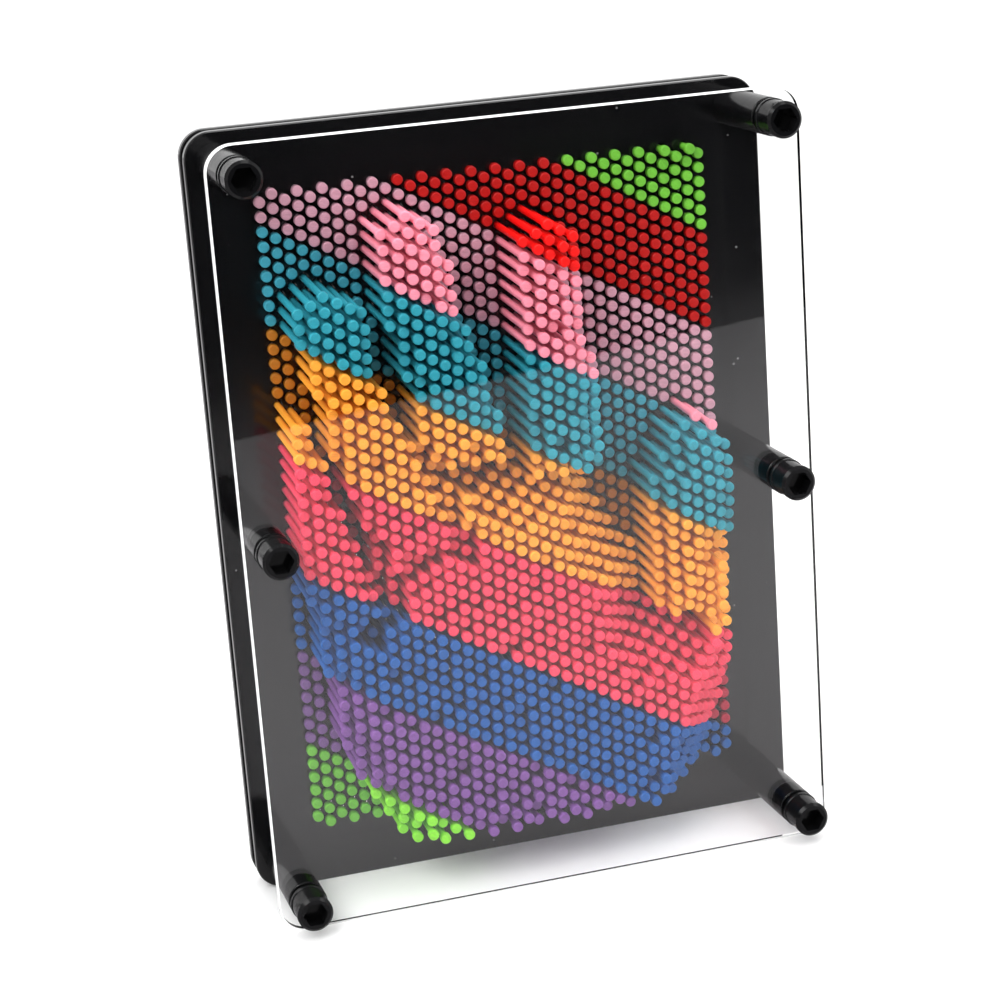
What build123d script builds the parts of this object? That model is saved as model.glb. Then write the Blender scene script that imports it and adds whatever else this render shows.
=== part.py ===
"""Pin art impression toy: a clear front plate, two perforated plates, six posts and 1683 sliding pins.

Frame: millimetres, +X to the right, +Y to the back, +Z up. The origin is the middle of the
footprint, on the surface that the plates' lower edges stand on.
"""
from build123d import *
from build123d.topology import SkipClean
import math
import os
import random

os.makedirs("parts", exist_ok=True)

# Plates
WIDTH, HEIGHT = 150.0, 200.0
PLATE_T = 2.5
CORNER_R = 7.0
EDGE_CHAMFER = 0.3
PIN_ROOM = 26.5  # from the pin plate to the clear plate, where the heads travel
GUIDE_GAP = 4.0  # between the two perforated plates

# Pin lattice: upright columns, each second one half a pitch out of step and one pin longer
PITCH = 3.7
COLUMNS = 37
SHORT_COLUMN, LONG_COLUMN = 45, 46
COLUMN_STEP = PITCH * math.sqrt(3) / 2
FIELD_Z = 100.5
HOLE_D = 2.6

# Pins
HEAD_D, HEAD_T, HEAD_ROUND = 2.75, 1.7, 0.35
NECK_L = 0.5  # the cone from the head to the shaft
SHAFT_D, SHAFT_L = 1.75, 36.0
TAIL_TAPER = 0.4
DROOP_DEG, LEAN_DEG = 2.2, 1.4  # nose down and to the left, in the play of the holes
SEAT_GAP = 0.1  # left under a head that is pushed home, and in front of one that is fully out
DROOP, LEAN = math.radians(DROOP_DEG), math.radians(LEAN_DEG)
OUTWARD = (-math.cos(DROOP) * math.sin(LEAN), -math.cos(DROOP) * math.cos(LEAN), -math.sin(DROOP))
TRAVEL = PIN_ROOM - NECK_L - HEAD_T - 2 * SEAT_GAP - HEAD_D / 2 * math.sqrt(1 - OUTWARD[1] ** 2)

# Posts
POST_X, POST_Z = 67.5, 92.5  # from the middle of the plates
POST_D = 9.5
ROD_D = 5.0
ROD_CLEARANCE = 0.2
CAP_L, CAP_FLANGE_L, CAP_BODY_D, CAP_GROOVE_L = 8.6, 1.2, 9.0, 0.5
CAP_RIM_L = 1.8
SOCKET_ACROSS_FLATS, SOCKET_DEPTH = 5.6, 4.0
ROD_IN_CAP = 4.0
BOLT_HEAD_D, BOLT_HEAD_L = 9.5, 2.8
BOLT_SOCKET_ACROSS_FLATS, BOLT_SOCKET_DEPTH = 3.2, 1.6

# Places along Y: the origin is half-way from the caps' ends to the pins' tails
FRONT_REACH = PIN_ROOM + PLATE_T + CAP_L
TAIL_REACH = SEAT_GAP + SHAFT_L + NECK_L
PIN_PLATE_Y = (FRONT_REACH - TAIL_REACH) / 2
BACK_PLATE_Y = PIN_PLATE_Y + PLATE_T + GUIDE_GAP
CLEAR_PLATE_Y = PIN_PLATE_Y - PIN_ROOM - PLATE_T
REAR_Y = BACK_PLATE_Y + PLATE_T
PIVOT_Y = (PIN_PLATE_Y + REAR_Y) / 2  # where a pin's line crosses its nominal place
MIDDLE_Z = HEIGHT / 2

# Colour bands run down to the right. A band number counts half pitches of row and column.
BANDS = [
    ("green", 5),
    ("red", 12),
    ("pink", 19),
    ("teal", 26),
    ("orange", 34),
    ("rose", 42),
    ("blue", 49),
    ("purple", 56),
    ("green", 99),
]

# The impression: a spread hand pressed against the tails. Each stretch is an outline, given as
# (column, row) places of the lattice, with how far its height falls at its left and right sides,
# and how far in from the side that fall begins, in mm.
STRETCHES = {
    "little_finger": {
        "outline": [
            (-0.5, 13.4), (1.3, 13.8), (1.6, 15.6), (2.2, 16.6), (2.9, 19.4), (3.4, 20.4), (4.0, 22.6),
            (4.8, 24.8), (5.8, 27.0), (5.8, 28.5), (0.6, 28.5), (0.5, 26.6), (-0.5, 26.4),
        ],
        "left": (2.0, 3.0),
        "right": (6.0, 4.5),
    },
    "ring_finger": {
        "outline": [
            (0.6, 6.2), (1.5, 5.6), (3.0, 5.1), (4.4, 5.5), (5.6, 6.2), (6.5, 7.4), (6.6, 11.6),
            (7.6, 12.0), (7.7, 14.2), (8.6, 14.6), (8.8, 16.1), (9.8, 16.7), (11.6, 19.6), (12.6, 22.4),
            (9.0, 24.0), (5.6, 26.0), (5.6, 22.4), (4.8, 21.8), (4.4, 20.3), (3.6, 19.0), (3.6, 17.2),
            (2.6, 16.2), (2.6, 13.6), (1.6, 12.6), (1.6, 9.4), (0.6, 9.0),
        ],
        "left": (3.0, 4.0),
        "right": (4.0, 3.5),
    },
    "middle_finger": {
        "outline": [
            (7.6, 1.6), (8.6, 1.0), (11.3, 1.0), (12.6, 1.6), (12.7, 4.1), (13.6, 4.4), (13.7, 8.6),
            (14.5, 9.0), (14.6, 10.6), (15.5, 11.1), (15.7, 14.1), (16.5, 14.6), (16.6, 18.5),
            (10.6, 18.5), (9.5, 16.6), (9.5, 12.3), (8.5, 11.9), (8.4, 8.8), (7.6, 8.3),
        ],
        "left": (4.0, 3.0),
        "right": (4.0, 3.5),
    },
    "index_finger": {
        "outline": [
            (18.6, 3.1), (19.6, 2.6), (20.6, 2.1), (22.3, 2.6), (23.5, 3.1), (23.6, 11.3), (24.5, 11.8),
            (24.6, 20.0), (18.6, 20.0),
        ],
        "left": (3.0, 3.0),
        "right": (3.0, 3.0),
    },
    "thumb": {
        "outline": [
            (31.6, 17.6), (33.2, 17.0), (34.6, 17.6), (34.8, 19.0), (35.5, 19.2), (35.6, 25.9),
            (33.5, 26.1), (33.5, 31.4), (28.6, 31.4), (28.6, 21.1), (29.6, 19.6), (30.6, 18.2),
        ],
        "left": (8.0, 6.0),
        "right": (5.0, 5.0),
    },
    "palm": {
        "outline": [
            (-0.5, 24.0), (-0.5, 26.4), (0.5, 26.8), (0.6, 31.8), (1.5, 32.2), (1.6, 37.4), (2.5, 37.8),
            (2.6, 39.9), (3.6, 40.2), (4.5, 42.0), (6.0, 44.2), (14.0, 56.0), (28.5, 56.0), (33.4, 43.2),
            (34.6, 41.2), (35.5, 38.8), (36.6, 36.4), (36.6, 25.9), (32.6, 25.9), (32.6, 30.8),
            (28.6, 30.8), (28.4, 27.3), (26.6, 25.2), (25.0, 22.5), (24.6, 18.5), (16.0, 18.0),
            (10.6, 17.6), (10.0, 23.0), (5.8, 25.5), (5.8, 27.0),
        ],
        "left": (7.0, 6.5),
        "right": (21.0, 17.0),
    },
}
# Furrows between and across the stretches: from, to, half-width in mm, depth in mm
FURROWS = [((10.2, 17.4), (12.8, 24.0), 3.6, 7.0), ((5.6, 23.0), (6.6, 27.6), 3.4, 9.0)]
# Single pins that stick out a little where no hand pushes: (column, place in it) to mm
STRAYS = {(33, 0): 2.0, (34, 0): 1.5, (35, 0): 3.0}
RAISED = 1.0  # a pin out by more than this belongs to the hand
SLOPE_BELOW = 12.0  # the palm's pins that are out by less than this form the slope beside it
JITTER = 1.3  # how unevenly the pins stand on the hand
SEED = 7


def plate_plane(y):
    """The upright plane at depth y whose extrusions go towards the back."""
    return Plane((0, y, MIDDLE_Z), x_dir=(1, 0, 0), z_dir=(0, -1, 0))


def post_places():
    """(name, x, height above the plates' middle) of the six posts."""
    rows = [("top", POST_Z), ("middle", 0.0), ("bottom", -POST_Z)]
    sides = [("left", -POST_X), ("right", POST_X)]
    return [(f"{row}_{side}", x, z) for row, z in rows for side, x in sides]


def save(part, name):
    part.label = name
    export_step(part, f"parts/{name}.step")


def outline_with_post_holes(y):
    """A plate's rounded outline, softened at its outer edges, with six holes for the rods."""
    with BuildPart() as blank:
        with BuildSketch(plate_plane(y)):
            RectangleRounded(WIDTH, HEIGHT, CORNER_R)
        extrude(amount=-PLATE_T)
        faces = blank.faces().sort_by(Axis.Y)
        chamfer(faces[0].edges() + faces[-1].edges(), EDGE_CHAMFER)
        with BuildSketch(plate_plane(y)):
            with Locations(*[(x, z) for _, x, z in post_places()]):
                Circle(ROD_D / 2 + ROD_CLEARANCE)
        extrude(amount=-PLATE_T, mode=Mode.SUBTRACT)
    return blank.part


def clear_front_plate():
    save(outline_with_post_holes(CLEAR_PLATE_Y), "clear_front_plate")


def column_strip(pins, y):
    """One lattice column's strip of a plate, with its holes."""
    with BuildPart() as strip:
        with BuildSketch(Plane((0, y, FIELD_Z), x_dir=(1, 0, 0), z_dir=(0, -1, 0))):
            Rectangle(COLUMN_STEP, (LONG_COLUMN + 1) * PITCH)
            with GridLocations(PITCH, PITCH, 1, pins):
                Circle(HOLE_D / 2, mode=Mode.SUBTRACT)
        extrude(amount=-PLATE_T)
    return strip.part


def perforated_plate(name, y):
    """A plate whose hole field is laid column by column, so that no face holds every hole."""
    strips = [column_strip(SHORT_COLUMN, y), column_strip(LONG_COLUMN, y)]
    blank = outline_with_post_holes(y)
    with SkipClean():
        with BuildPart() as plate:
            add(blank)
            with BuildSketch(Plane((0, y, FIELD_Z), x_dir=(1, 0, 0), z_dir=(0, -1, 0))):
                Rectangle(COLUMNS * COLUMN_STEP, (LONG_COLUMN + 1) * PITCH)
            extrude(amount=-PLATE_T, mode=Mode.SUBTRACT)
            add([strips[c % 2].moved(Location((column_x(c), 0, 0))) for c in range(COLUMNS)])
    save(plate.part, name)


def column_x(column):
    return (column - (COLUMNS - 1) / 2) * COLUMN_STEP


def row_z(row):
    """Rows count down from the top pin of a short column. A long column's rows are at half numbers."""
    return FIELD_Z + ((SHORT_COLUMN - 1) / 2 - row) * PITCH


def tube(name, x, z, y, length, outer_d, bore_d):
    """A plain tube from depth y towards the back, with softened rims."""
    with BuildPart() as sleeve:
        with BuildSketch(Plane((x, y, z + MIDDLE_Z), x_dir=(1, 0, 0), z_dir=(0, -1, 0))):
            Circle(outer_d / 2)
        extrude(amount=-length)
        chamfer(sleeve.edges().filter_by(GeomType.CIRCLE), EDGE_CHAMFER)
        with BuildSketch(Plane((x, y, z + MIDDLE_Z), x_dir=(1, 0, 0), z_dir=(0, -1, 0))):
            Circle(bore_d / 2)
        extrude(amount=-length, mode=Mode.SUBTRACT)
    save(sleeve.part, name)


def front_cap(name, x, z):
    """The knob nut on a post's front end: flange, body, groove and rim, with a hexagonal socket."""
    radius, body, groove = POST_D / 2, CAP_BODY_D / 2, CAP_BODY_D / 2 - 0.4
    rim_start = CAP_L - CAP_RIM_L
    seat = Plane((x, CLEAR_PLATE_Y, z + MIDDLE_Z), x_dir=(1, 0, 0), z_dir=(0, -1, 0))
    with BuildPart() as cap:
        with BuildSketch(Plane(seat.origin, x_dir=seat.x_dir, z_dir=(0, 0, 1))):
            with BuildLine():
                Polyline(
                    (0, 0),
                    (radius - 0.2, 0),
                    (radius, -0.2),
                    (radius, -CAP_FLANGE_L + 0.2),
                    (radius - 0.2, -CAP_FLANGE_L),
                    (body, -CAP_FLANGE_L),
                    (body - 0.15, -(rim_start - CAP_GROOVE_L)),
                    (groove, -(rim_start - CAP_GROOVE_L)),
                    (groove, -rim_start),
                    (body + 0.1, -rim_start),
                    (body + 0.1, -(CAP_L - 0.7)),
                    (body - 0.6, -CAP_L),
                    (0, -CAP_L),
                    close=True,
                )
            make_face()
        revolve(axis=Axis((x, 0, z + MIDDLE_Z), (0, 1, 0)))
        with BuildSketch(seat.offset(CAP_L)):
            RegularPolygon(SOCKET_ACROSS_FLATS / 2, 6, major_radius=False)
        extrude(amount=-SOCKET_DEPTH, mode=Mode.SUBTRACT)
        with BuildSketch(seat):
            Circle(ROD_D / 2 + ROD_CLEARANCE / 4)
        extrude(amount=ROD_IN_CAP + ROD_CLEARANCE, mode=Mode.SUBTRACT)
    save(cap.part, name)


def through_bolt(name, x, z):
    """The rod that clamps a post's stack together, with a low round head behind the back plate."""
    reach = REAR_Y - CLEAR_PLATE_Y + ROD_IN_CAP
    seat = Plane((x, REAR_Y, z + MIDDLE_Z), x_dir=(1, 0, 0), z_dir=(0, -1, 0))
    with BuildPart() as bolt:
        with BuildSketch(seat):
            Circle(BOLT_HEAD_D / 2)
        extrude(amount=-BOLT_HEAD_L)
        fillet(bolt.edges().filter_by(GeomType.CIRCLE).sort_by(Axis.Y)[-1], BOLT_HEAD_L * 0.6)
        with BuildSketch(seat):
            Circle(ROD_D / 2)
        extrude(amount=reach)
        chamfer(bolt.edges().filter_by(GeomType.CIRCLE).sort_by(Axis.Y)[0], EDGE_CHAMFER)
        with BuildSketch(seat.offset(-BOLT_HEAD_L)):
            RegularPolygon(BOLT_SOCKET_ACROSS_FLATS / 2, 6, major_radius=False)
        extrude(amount=BOLT_SOCKET_DEPTH, mode=Mode.SUBTRACT)
    save(bolt.part, name)


def post(name, x, z):
    """One post: front cap, long spacer, short guide spacer and the bolt through them."""
    bore = ROD_D + 2 * ROD_CLEARANCE
    front_cap(f"front_cap_{name}", x, z)
    tube(f"long_spacer_{name}", x, z, CLEAR_PLATE_Y + PLATE_T, PIN_ROOM, POST_D, bore)
    tube(f"guide_spacer_{name}", x, z, PIN_PLATE_Y + PLATE_T, GUIDE_GAP, POST_D, bore)
    through_bolt(f"post_bolt_{name}", x, z)


def single_pin():
    """A pin pushed home, tilted about the point half-way through the two guide plates."""
    head_back = -SEAT_GAP - NECK_L
    front = head_back - HEAD_T
    with BuildPart() as pin:
        with BuildSketch(Plane.XY):
            with BuildLine():
                Line((0, front), (HEAD_D / 2 - HEAD_ROUND, front))
                RadiusArc((HEAD_D / 2 - HEAD_ROUND, front), (HEAD_D / 2, front + HEAD_ROUND), -HEAD_ROUND)
                Polyline(
                    (HEAD_D / 2, front + HEAD_ROUND),
                    (HEAD_D / 2, head_back),
                    (SHAFT_D / 2, head_back + NECK_L),
                    (SHAFT_D / 2, head_back + NECK_L + SHAFT_L - TAIL_TAPER),
                    (SHAFT_D / 2 - TAIL_TAPER, head_back + NECK_L + SHAFT_L),
                    (0, head_back + NECK_L + SHAFT_L),
                    (0, front),
                )
            make_face()
        revolve(axis=Axis.Y)
    level = pin.part.moved(Location((0, PIN_PLATE_Y - PIVOT_Y, 0)))
    return level.rotate(Axis.X, DROOP_DEG).rotate(Axis.Z, -LEAN_DEG).moved(Location((0, PIVOT_Y, 0)))


def nearest_on(x, z, start, end):
    """The point nearest to (x, z) on the line between two lattice places."""
    ax, az, bx, bz = column_x(start[0]), row_z(start[1]), column_x(end[0]), row_z(end[1])
    along = ((x - ax) * (bx - ax) + (z - az) * (bz - az)) / ((bx - ax) ** 2 + (bz - az) ** 2)
    along = min(max(along, 0.0), 1.0)
    return ax + along * (bx - ax), az + along * (bz - az)


def crosses(column, row, start, end):
    """Whether a line from the lattice place to the right, along its row, meets the given line."""
    if (start[1] > row) == (end[1] > row):
        return False
    return column < start[0] + (row - start[1]) / (end[1] - start[1]) * (end[0] - start[0])


def stretch_height(column, row, stretch):
    """How far a stretch of the hand holds out the pin at a lattice place: 0 outside its outline."""
    outline = stretch["outline"]
    sides = list(zip(outline, outline[1:] + outline[:1]))
    if sum(crosses(column, row, *side) for side in sides) % 2 == 0:
        return 0.0
    x, z = column_x(column), row_z(row)
    near = min((nearest_on(x, z, a, b) for a, b in sides), key=lambda p: math.dist(p, (x, z)))
    fall, width = stretch["left" if near[0] < x else "right"]
    return TRAVEL - fall * max(1 - math.dist(near, (x, z)) / width, 0)


def furrow_depth(column, row):
    """How much the furrows of the hand lower the pin at a lattice place."""
    x, z = column_x(column), row_z(row)
    depths = []
    for start, end, half_width, depth in FURROWS:
        away = math.dist(nearest_on(x, z, start, end), (x, z)) / half_width
        depths.append(depth * max(1 - away**2, 0))
    return max(depths)


def pin_groups():
    """Pins sorted by colour and by the stretch of the hand that holds them: name to (x, z, out)."""
    wobble = random.Random(SEED)
    groups = {}
    for column in range(COLUMNS):
        for n in range(SHORT_COLUMN + column % 2):
            row = n - 0.5 * (column % 2)
            band = row + (COLUMNS - 1 - column) / 2
            colour = next(name for name, last in BANDS if band <= last + 0.25)
            heights = {name: stretch_height(column, row, s) for name, s in STRETCHES.items()}
            zone = max(heights, key=heights.get)
            out = heights[zone] - furrow_depth(column, row)
            if out > RAISED:
                out = max(out - abs(wobble.gauss(0, JITTER)), RAISED)
                if zone == "palm" and out < SLOPE_BELOW:
                    zone = "slope"
            else:
                zone, out = "flush", STRAYS.get((column, n), 0.0)
            group = groups.setdefault(f"pins_{colour}_{zone}", [])
            group.append((column_x(column), row_z(row), out))
    return groups


def pins():
    """Each group is a set of separate, equal pins. All of them slide along their tilted line."""
    one = single_pin()
    outward = Vector(*OUTWARD)
    for name, places in sorted(pin_groups().items()):
        copies = [one.moved(Location(Vector(x, 0, z) + outward * out)) for x, z, out in places]
        save(Compound(children=copies), name)
        outs = [out for _, _, out in places]
        print(f"{name}: {len(places)} pins, out {min(outs):.3f} to {max(outs):.3f} of {TRAVEL:.3f}")
    print("outward", *OUTWARD)


if __name__ == "__main__":
    clear_front_plate()
    perforated_plate("pin_plate", PIN_PLATE_Y)
    perforated_plate("back_plate", BACK_PLATE_Y)
    for post_name, post_x, post_z in post_places():
        post(post_name, post_x, post_z)
    pins()
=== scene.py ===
"""Looks of the pin art impression toy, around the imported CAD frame. Lengths are in metres."""

import math

import bpy
from mathutils import Matrix, Vector

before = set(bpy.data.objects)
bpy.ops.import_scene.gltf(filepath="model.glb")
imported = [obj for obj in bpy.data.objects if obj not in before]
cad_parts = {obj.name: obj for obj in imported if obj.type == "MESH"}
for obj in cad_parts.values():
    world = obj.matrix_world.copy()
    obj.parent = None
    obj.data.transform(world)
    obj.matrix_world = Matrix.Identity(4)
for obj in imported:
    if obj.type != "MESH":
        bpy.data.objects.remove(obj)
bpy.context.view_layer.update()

# Camera
CAMERA_PLACE = Vector((-0.1726, -0.6051, 0.2721))
CAMERA_TARGET = Vector((-0.0013, 0.0005, 0.0966))
CAMERA_ROLL_DEG = 4.15  # clockwise, so the toy leans to the left
CAMERA_LENS_MM, SENSOR_MM = 89.83, 36.0

# Colours of the pins' plastic: out in the light, and pushed home, where no light enters the shaft.
# The second colour of each pair is painted shade for that unlit shaft, darker for most colours.
PIN_COLOURS = {
    "green": ((0.24, 0.72, 0.035), (0.14, 0.46, 0.04)),
    "red": ((0.83, 0.006, 0.005), (0.40, 0.005, 0.004)),
    "pink": ((0.90, 0.28, 0.37), (0.52, 0.27, 0.34)),
    "teal": ((0.026, 0.30, 0.38), (0.04, 0.29, 0.38)),
    "orange": ((0.95, 0.37, 0.04), (0.43, 0.15, 0.012)),
    "rose": ((0.88, 0.06, 0.12), (0.42, 0.02, 0.05)),
    "blue": ((0.008, 0.10, 0.36), (0.010, 0.10, 0.34)),
    "purple": ((0.20, 0.075, 0.30), (0.17, 0.08, 0.24)),
}
HOME_ZONE = "flush"
PIN_SHADES = 0.86, 1.08  # the darkest and the palest pin of a colour, as parts of that colour
PIN_ROUGHNESS = 0.30, 0.42  # the glossiest and the dullest pin
PIN_SHINE = 0.25
GRAIN_SCALE, GRAIN_STRENGTH, GRAIN_DEPTH = 2500, 0.12, 0.0001

# Black plastic, and the clear sheet
ACRYLIC_IOR = 1.49
BLACK = (0.004, 0.004, 0.0045)
RUB_SCALE, RUB_DETAIL = 60, 6
RUB_START, RUB_FULL = 0.35, 0.75  # where in the noise a rub mark starts, and where it is full
RUB_ROUGHER = 1.6  # how many times rougher a full rub mark is
DUST_SCALE, DUST_RADIUS = 160, 0.06  # cells to a metre, and the radius of a cell's speck, in cells
EDGE_CLARITY = 0.1  # how much of a cut edge of the clear sheet is see-through
FACE_LIMIT = 0.6  # the square of the normal's Y is above this on the sheet's two faces
SHEET_PASSES = 0.95  # how much of the lamps' light goes through the clear sheet

# Studio
MATT = 0.9  # roughness
FLOOR_WIDTH = 6
FLOOR_COLOUR = (0.97, 0.97, 0.97)
FLOOR_IN_MIRRORS = (0.5, 0.49, 0.5)
FLAG_GREY = 0.002
FLAG_WIDTH, FLAG_HEIGHT = 1.6, 0.24
FLAG_PLACE = (0.186, -0.612, 0.12)
FLAG_TURN_DEG = -20
LAMPS_AIM = (0, 0, 0.1)
LAMPS = {  # place, width and length, and power in watts
    "key": ((-0.7, -0.8, 1.0), (0.7, 0.7), 10),
    "top": ((0.1, 0.2, 1.3), (1.2, 0.8), 8),
    "fill": ((0.9, -0.6, 0.6), (0.6, 0.9), 5),
}
SURROUNDINGS_STRENGTH = 1.12


def new_material(name):
    """A material with an empty Principled shader: (material, its nodes, its links, the shader)."""
    material = bpy.data.materials.new(name)
    material.use_nodes = True
    nodes, links = material.node_tree.nodes, material.node_tree.links
    return material, nodes, links, nodes["Principled BSDF"]


def texture_node(nodes, links, kind, scale):
    """A procedural texture in object coordinates, which are in metres."""
    texture = nodes.new(kind)
    texture.inputs["Scale"].default_value = scale
    links.new(nodes.new("ShaderNodeTexCoord").outputs["Object"], texture.inputs["Vector"])
    return texture


def noise(nodes, links, scale, detail=3.0):
    """A noise texture. A larger detail gives it finer grain on top."""
    texture = texture_node(nodes, links, "ShaderNodeTexNoise", scale)
    texture.inputs["Detail"].default_value = detail
    return texture


def ramp(nodes, first, last):
    """A colour ramp between two stops, which are (position, grey or colour)."""
    node = nodes.new("ShaderNodeValToRGB")
    for element, (position, colour) in zip(node.color_ramp.elements, (first, last)):
        element.position = position
        element.color = (*colour, 1) if isinstance(colour, tuple) else (colour, colour, colour, 1)
    return node


def switch_by_ray(nodes, links, path_output, shader, other):
    """Ends a material in shader, and in other for rays whose Light Path output isn't 0."""
    path = nodes.new("ShaderNodeLightPath")
    mix = nodes.new("ShaderNodeMixShader")
    links.new(path.outputs[path_output], mix.inputs["Fac"])
    links.new(shader.outputs["BSDF"], mix.inputs[1])
    links.new(other.outputs["BSDF"], mix.inputs[2])
    links.new(mix.outputs["Shader"], nodes["Material Output"].inputs["Surface"])


def pin_material(name, colour):
    """Satin moulded plastic. Every pin differs a little in colour and in gloss."""
    material, nodes, links, shader = new_material(name)
    geometry = nodes.new("ShaderNodeNewGeometry")
    dark, pale = (tuple(min(c * k, 1) for c in colour) for k in PIN_SHADES)
    tint = ramp(nodes, (0, dark), (1, pale))
    links.new(geometry.outputs["Random Per Island"], tint.inputs["Fac"])
    links.new(tint.outputs["Color"], shader.inputs["Base Color"])
    gloss = ramp(nodes, (0, PIN_ROUGHNESS[0]), (1, PIN_ROUGHNESS[1]))
    links.new(geometry.outputs["Random Per Island"], gloss.inputs["Fac"])
    links.new(gloss.outputs["Color"], shader.inputs["Roughness"])
    shader.inputs["IOR"].default_value = ACRYLIC_IOR
    shader.inputs["Specular IOR Level"].default_value = PIN_SHINE
    grain = noise(nodes, links, GRAIN_SCALE)
    bump = nodes.new("ShaderNodeBump")
    bump.inputs["Strength"].default_value = GRAIN_STRENGTH
    bump.inputs["Distance"].default_value = GRAIN_DEPTH
    links.new(grain.outputs["Fac"], bump.inputs["Height"])
    links.new(bump.outputs["Normal"], shader.inputs["Normal"])
    return material


def black_plastic(name, roughness, shine, specks):
    """Black plastic with faint rub marks, and with dust specks of that grey if specks isn't 0."""
    material, nodes, links, shader = new_material(name)
    shader.inputs["Base Color"].default_value = (*BLACK, 1)
    shader.inputs["IOR"].default_value = ACRYLIC_IOR
    shader.inputs["Specular IOR Level"].default_value = shine
    rub = noise(nodes, links, RUB_SCALE, RUB_DETAIL)
    gloss = ramp(nodes, (RUB_START, roughness), (RUB_FULL, roughness * RUB_ROUGHER))
    links.new(rub.outputs["Fac"], gloss.inputs["Fac"])
    links.new(gloss.outputs["Color"], shader.inputs["Roughness"])
    if specks:
        dust = texture_node(nodes, links, "ShaderNodeTexVoronoi", DUST_SCALE)
        spots = ramp(nodes, (0, specks), (DUST_RADIUS, BLACK))
        links.new(dust.outputs["Distance"], spots.inputs["Fac"])
        links.new(spots.outputs["Color"], shader.inputs["Base Color"])
    return material


def math_node(nodes, links, operation, value, second):
    """A Math node between a socket and a number or another socket."""
    node = nodes.new("ShaderNodeMath")
    node.operation = operation
    links.new(value, node.inputs[0])
    if isinstance(second, float):
        node.inputs[1].default_value = second
    else:
        links.new(second, node.inputs[1])
    return node.outputs["Value"]


def clear_acrylic():
    """Clear acrylic sheet with white cut edges. It lets the lamps' light through."""
    material, nodes, links, shader = new_material("clear_acrylic")
    shader.inputs["Base Color"].default_value = (1, 1, 1, 1)
    shader.inputs["Roughness"].default_value = 0
    shader.inputs["IOR"].default_value = ACRYLIC_IOR
    apart = nodes.new("ShaderNodeSeparateXYZ")
    links.new(nodes.new("ShaderNodeTexCoord").outputs["Normal"], apart.inputs["Vector"])
    facing = math_node(nodes, links, "MULTIPLY", apart.outputs["Y"], apart.outputs["Y"])
    inside = nodes.new("ShaderNodeNewGeometry").outputs["Backfacing"]
    face = math_node(nodes, links, "GREATER_THAN", facing, FACE_LIMIT)
    clear = math_node(nodes, links, "MAXIMUM", face, inside)
    clarity = math_node(nodes, links, "MAXIMUM", clear, EDGE_CLARITY)
    links.new(clarity, shader.inputs["Transmission Weight"])
    passing = nodes.new("ShaderNodeBsdfTransparent")
    passing.inputs["Color"].default_value = (SHEET_PASSES, SHEET_PASSES, SHEET_PASSES, 1)
    switch_by_ray(nodes, links, "Is Shadow Ray", shader, passing)
    return material


def dress(node, material):
    """Gives a CAD node its one material."""
    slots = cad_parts[node].data.materials
    slots.clear()
    slots.append(material)


def dress_pins():
    """One material for the pins of a colour that are out, and one with painted shade for those
    pushed home, whose shafts get no light.
    """
    made = {}
    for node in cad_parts:
        if not node.startswith("pins_"):
            continue
        colour, zone = node.split("_", 2)[1:]
        # Pins pushed home take the second colour of their pair, which is painted shade.
        home = zone == HOME_ZONE
        name = f"{colour}_{'home' if home else 'out'}"
        if name not in made:
            made[name] = pin_material(name, PIN_COLOURS[colour][home])
        dress(node, made[name])


def dress_frame():
    """The plates, and the pieces of the six posts."""
    plate = black_plastic("black_plate", roughness=0.1, shine=0.5, specks=0.3)
    gloss = black_plastic("black_gloss", roughness=0.12, shine=0.15, specks=0)
    satin = black_plastic("black_satin", roughness=0.3, shine=0.3, specks=0)
    clear = clear_acrylic()
    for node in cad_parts:
        if node == "clear_front_plate":
            dress(node, clear)
        elif node.endswith("_plate"):
            dress(node, plate)
        elif node.startswith(("front_cap", "long_spacer", "guide_spacer")):
            dress(node, gloss)
        elif node.startswith("post_bolt"):
            dress(node, satin)


def flag_black():
    """A matt black that mirrors nothing."""
    material, _, _, shader = new_material("flag_black")
    shader.inputs["Base Color"].default_value = (FLAG_GREY, FLAG_GREY, FLAG_GREY, 1)
    shader.inputs["Roughness"].default_value = MATT
    shader.inputs["Specular IOR Level"].default_value = 0
    return material


def floor_white():
    """A white floor whose mirror image in the glossy plates is dimmer than the floor itself."""
    material, nodes, links, shader = new_material("floor_white")
    shader.inputs["Base Color"].default_value = (*FLOOR_COLOUR, 1)
    shader.inputs["Roughness"].default_value = MATT
    dim = nodes.new("ShaderNodeBsdfDiffuse")
    dim.inputs["Color"].default_value = (*FLOOR_IN_MIRRORS, 1)
    switch_by_ray(nodes, links, "Glossy Depth", shader, dim)
    return material


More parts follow.
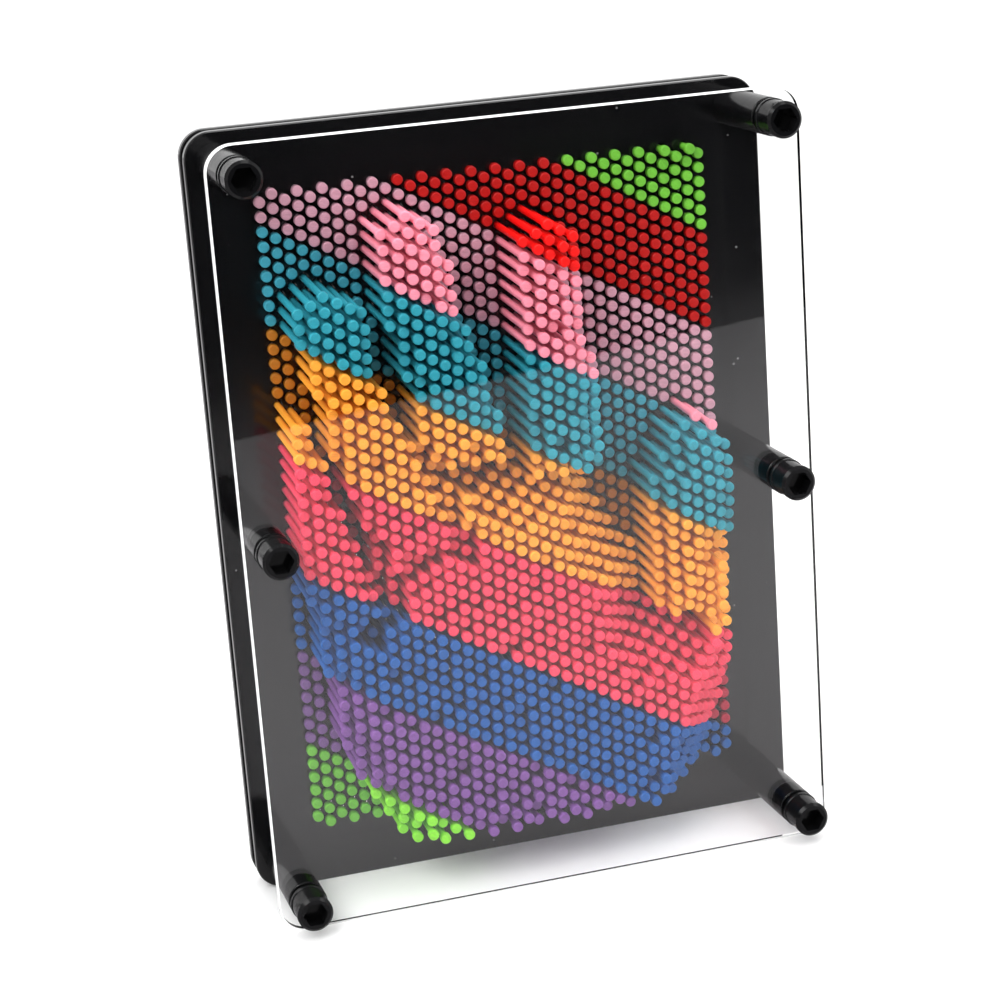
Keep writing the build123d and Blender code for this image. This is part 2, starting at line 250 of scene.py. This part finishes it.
def stage_plane(name, material, width, depth, matrix):
    """A flat sheet that belongs to the studio, not to the toy."""
    mesh = bpy.data.meshes.new(name)
    w, d = width / 2, depth / 2
    mesh.from_pydata([(-w, -d, 0), (w, -d, 0), (w, d, 0), (-w, d, 0)], [], [(0, 1, 2, 3)])
    mesh.materials.append(material)
    plane = bpy.data.objects.new(name, mesh)
    bpy.context.scene.collection.objects.link(plane)
    plane.matrix_world = matrix
    return plane


def area_light(name, place, size, power):
    """A white soft box, aimed at the toy."""
    lamp = bpy.data.lights.new(name, "AREA")
    lamp.shape = "RECTANGLE"
    lamp.size, lamp.size_y = size
    lamp.energy = power
    holder = bpy.data.objects.new(name, lamp)
    bpy.context.scene.collection.objects.link(holder)
    holder.location = place
    holder.rotation_euler = (Vector(LAMPS_AIM) - Vector(place)).to_track_quat("-Z", "Y").to_euler()


def studio():
    """White floor, white surroundings, soft boxes, and a black flag that darkens mirror images."""
    stage_plane("floor", floor_white(), FLOOR_WIDTH, FLOOR_WIDTH, Matrix.Identity(4))
    turn = Matrix.Rotation(math.radians(FLAG_TURN_DEG), 4, "Z")
    upright = Matrix.Rotation(math.radians(90), 4, "X")
    flag_matrix = Matrix.Translation(FLAG_PLACE) @ turn @ upright
    flag = stage_plane("flag", flag_black(), FLAG_WIDTH, FLAG_HEIGHT, flag_matrix)
    flag.visible_camera = False
    for name, (place, size, power) in LAMPS.items():
        area_light(name, place, size, power)
    world = bpy.data.worlds.new("surroundings")
    world.use_nodes = True
    background = world.node_tree.nodes["Background"]
    background.inputs["Color"].default_value = (1, 1, 1, 1)
    background.inputs["Strength"].default_value = SURROUNDINGS_STRENGTH
    bpy.context.scene.world = world


def camera():
    """The photo's viewpoint, with the renderer's colours left as they are."""
    data = bpy.data.cameras.new("camera")
    data.lens, data.sensor_width = CAMERA_LENS_MM, SENSOR_MM
    holder = bpy.data.objects.new("camera", data)
    bpy.context.scene.collection.objects.link(holder)
    aim = (CAMERA_TARGET - CAMERA_PLACE).to_track_quat("-Z", "Y").to_matrix().to_4x4()
    roll = Matrix.Rotation(math.radians(-CAMERA_ROLL_DEG), 4, "Z")
    holder.matrix_world = Matrix.Translation(CAMERA_PLACE) @ aim @ roll
    bpy.context.scene.camera = holder
    bpy.context.scene.view_settings.view_transform = "Standard"


dress_pins()
dress_frame()
studio()
camera()
